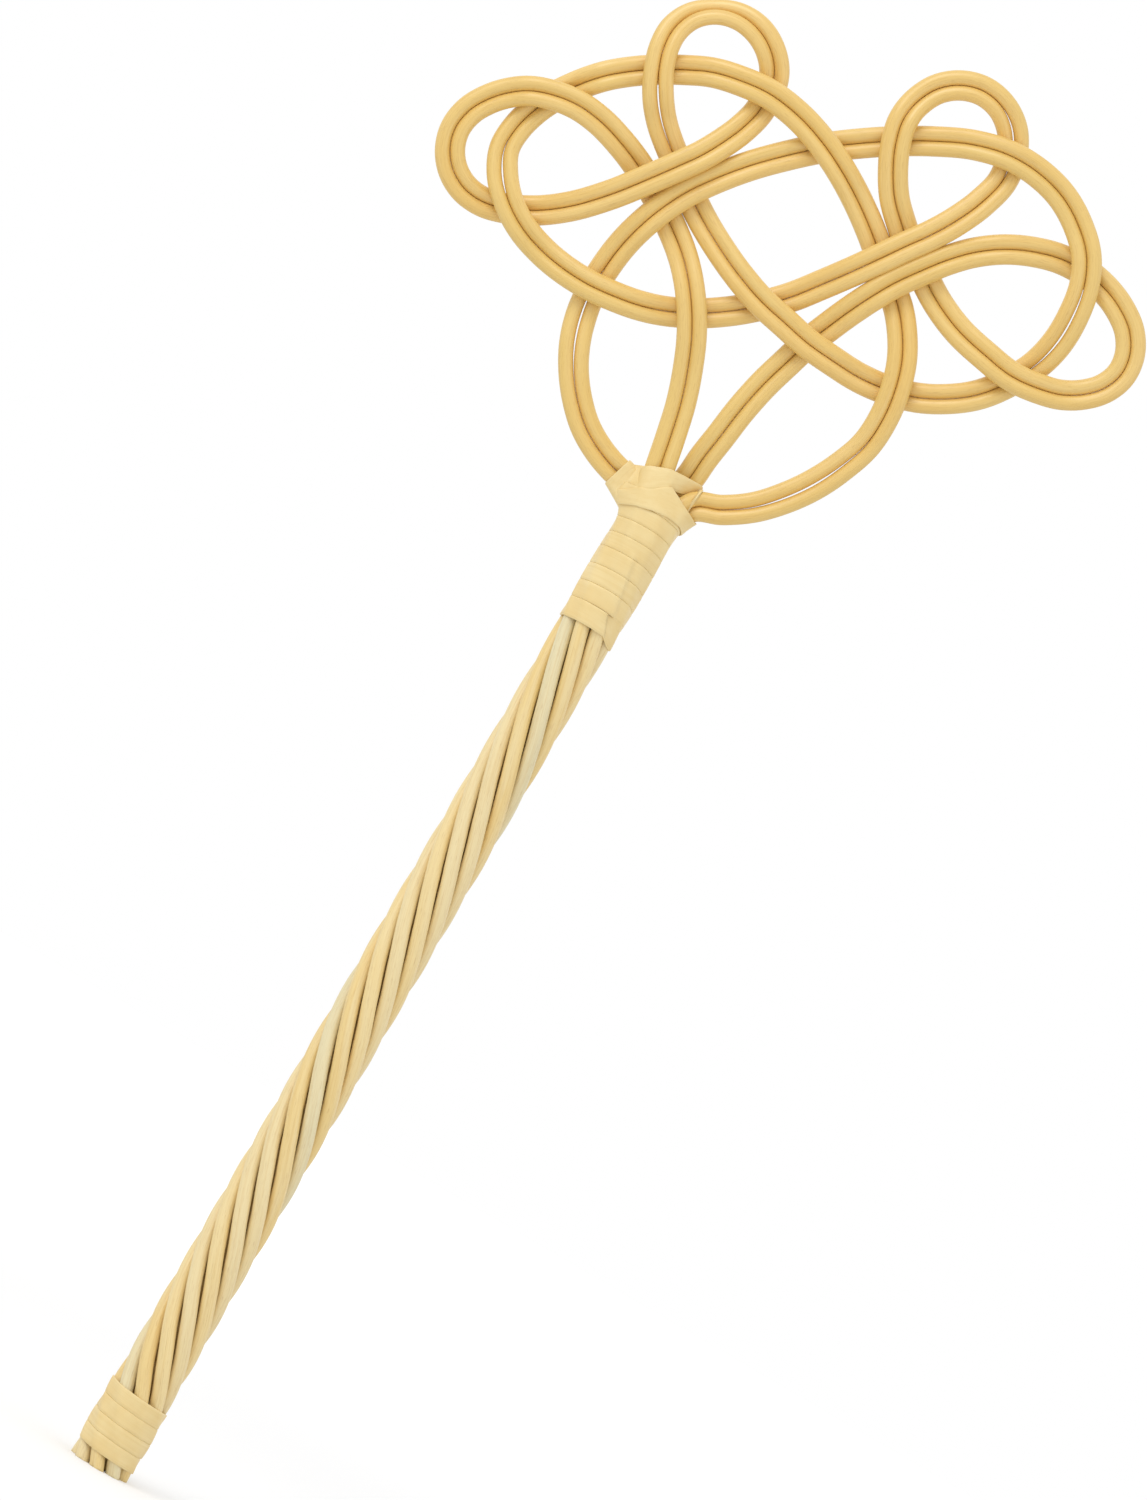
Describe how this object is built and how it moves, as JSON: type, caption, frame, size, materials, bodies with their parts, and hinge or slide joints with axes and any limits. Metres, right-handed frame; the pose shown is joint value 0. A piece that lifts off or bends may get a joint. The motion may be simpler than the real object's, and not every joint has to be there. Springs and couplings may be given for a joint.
{
  "type": "carpet beater",
  "caption": "Woven rattan carpet beater: paired canes laid in an open knot, bound at the neck with flat strip and twisted together into a straight round handle.",
  "frame": {"origin": "middle of the grip, on the handle's axis, 50 mm above the butt's end face", "axes": "+Z along the handle towards the knot, the knot lies in the XZ plane, and -Y is the knot's front face"},
  "size_m": [0.2846, 0.027, 0.6431],
  "materials": {
    "cane": "smooth peeled cane, satin",
    "core": "raw cane",
    "binding_strip": "flat peeled strip, satin"
  },
  "bodies": {
    "root": {"left_band_inner_cane": "cane", "left_band_outer_cane": "cane", "right_band_outer_cane": "cane", "right_band_inner_cane": "cane", "handle_core": "core", "collar_winding": "binding_strip", "butt_winding": "binding_strip", "neck_strap": "binding_strip", "left_root_strap": "binding_strip", "right_root_strap": "binding_strip", "centre_root_strap": "binding_strip"}
  },
  "joints": []
}
